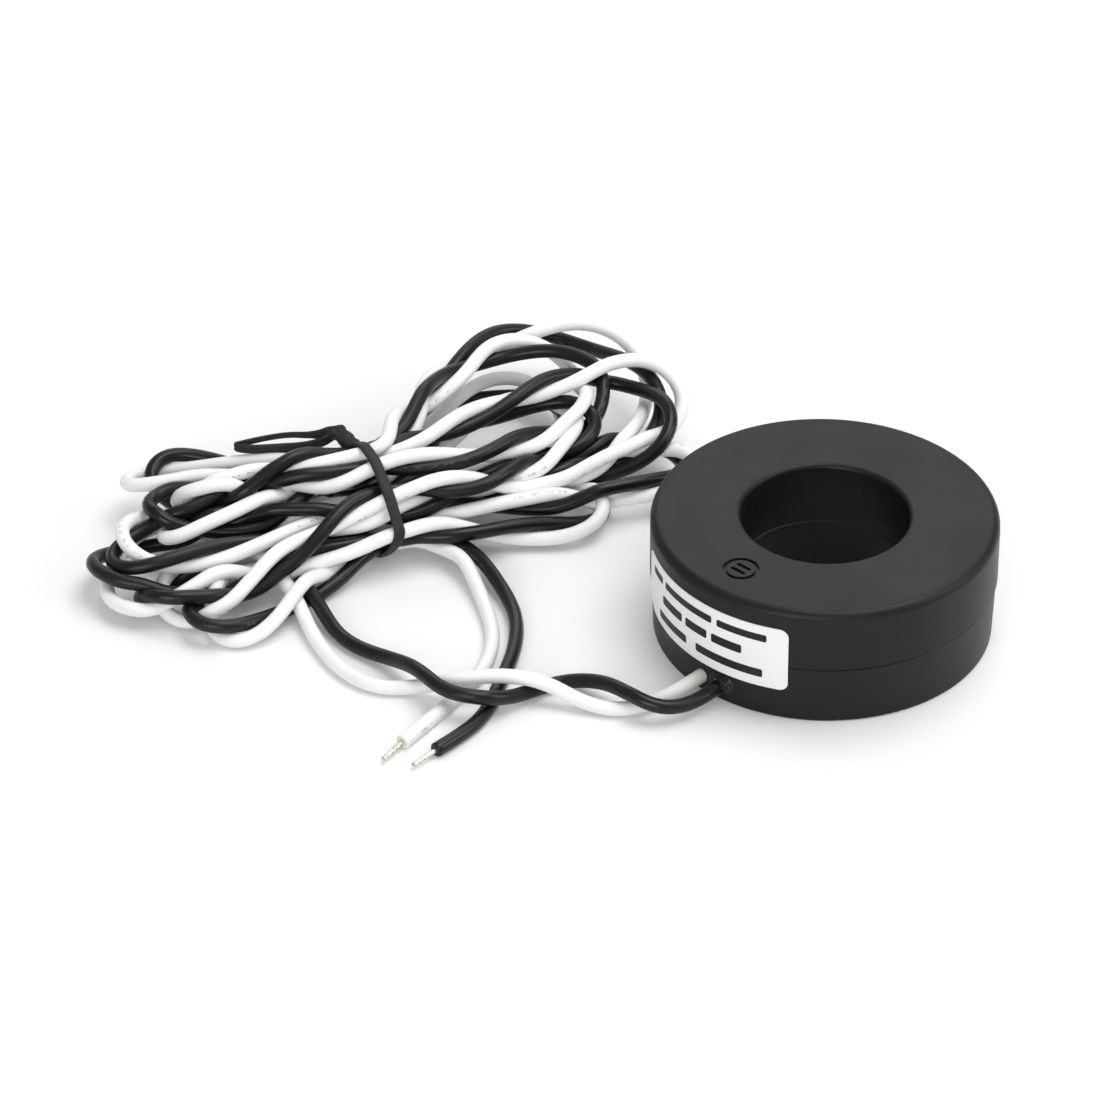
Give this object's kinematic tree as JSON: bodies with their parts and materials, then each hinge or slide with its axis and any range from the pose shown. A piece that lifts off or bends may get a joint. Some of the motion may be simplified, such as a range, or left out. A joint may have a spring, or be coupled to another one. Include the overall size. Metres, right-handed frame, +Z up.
{
  "type": "current transformer",
  "caption": "Solid-core ring current transformer: round black housing with a centre window and a side label, and twisted black and white leads hanked with a wire tie.",
  "frame": {"origin": "centre of the window at the base of the housing, on the surface that the object lies on", "axes": "+Z runs up the window, out of the top plate with the round mark; the leads leave the wall towards -X and -Y; +X and +Y are square to it"},
  "size_m": [0.1402, 0.1096, 0.0198],
  "materials": {
    "housing": "fine matte moulded black plastic",
    "core": "edge of a tightly wound metal strip",
    "core_box": "plain moulded insulating plastic",
    "winding": "enamelled copper wire, laid side by side",
    "tape": "thin polyester insulating tape",
    "solder": "dull solder",
    "splice_sleeve": "shrunk insulating sleeve",
    "resin": "cast black resin, glossy",
    "label": "white coated paper with plain dark bars",
    "white_jacket": "satin white PVC",
    "black_jacket": "satin black PVC",
    "hank": null,
    "conductor": "tinned stranded copper",
    "tie": "dull dark plastic over a thin wire"
  },
  "bodies": {
    "root": {"upper_shell": "housing", "lower_shell": "housing", "core": "core", "core_box_base": "core_box", "core_box_lid": "core_box", "secondary_winding": "winding", "winding_tape": "tape", "white_winding_end": "winding", "black_winding_end": "winding", "white_solder_joint": "solder", "black_solder_joint": "solder", "white_splice_sleeve": "splice_sleeve", "black_splice_sleeve": "splice_sleeve", "potting_resin": "resin", "exit_seal": "resin", "label": "label", "white_lead": "white_jacket", "black_lead": "black_jacket", "lead_hank": "hank", "white_tail": "white_jacket", "black_tail": "black_jacket", "white_conductor": "conductor", "black_conductor": "conductor", "twist_tie": "tie"}
  },
  "joints": []
}
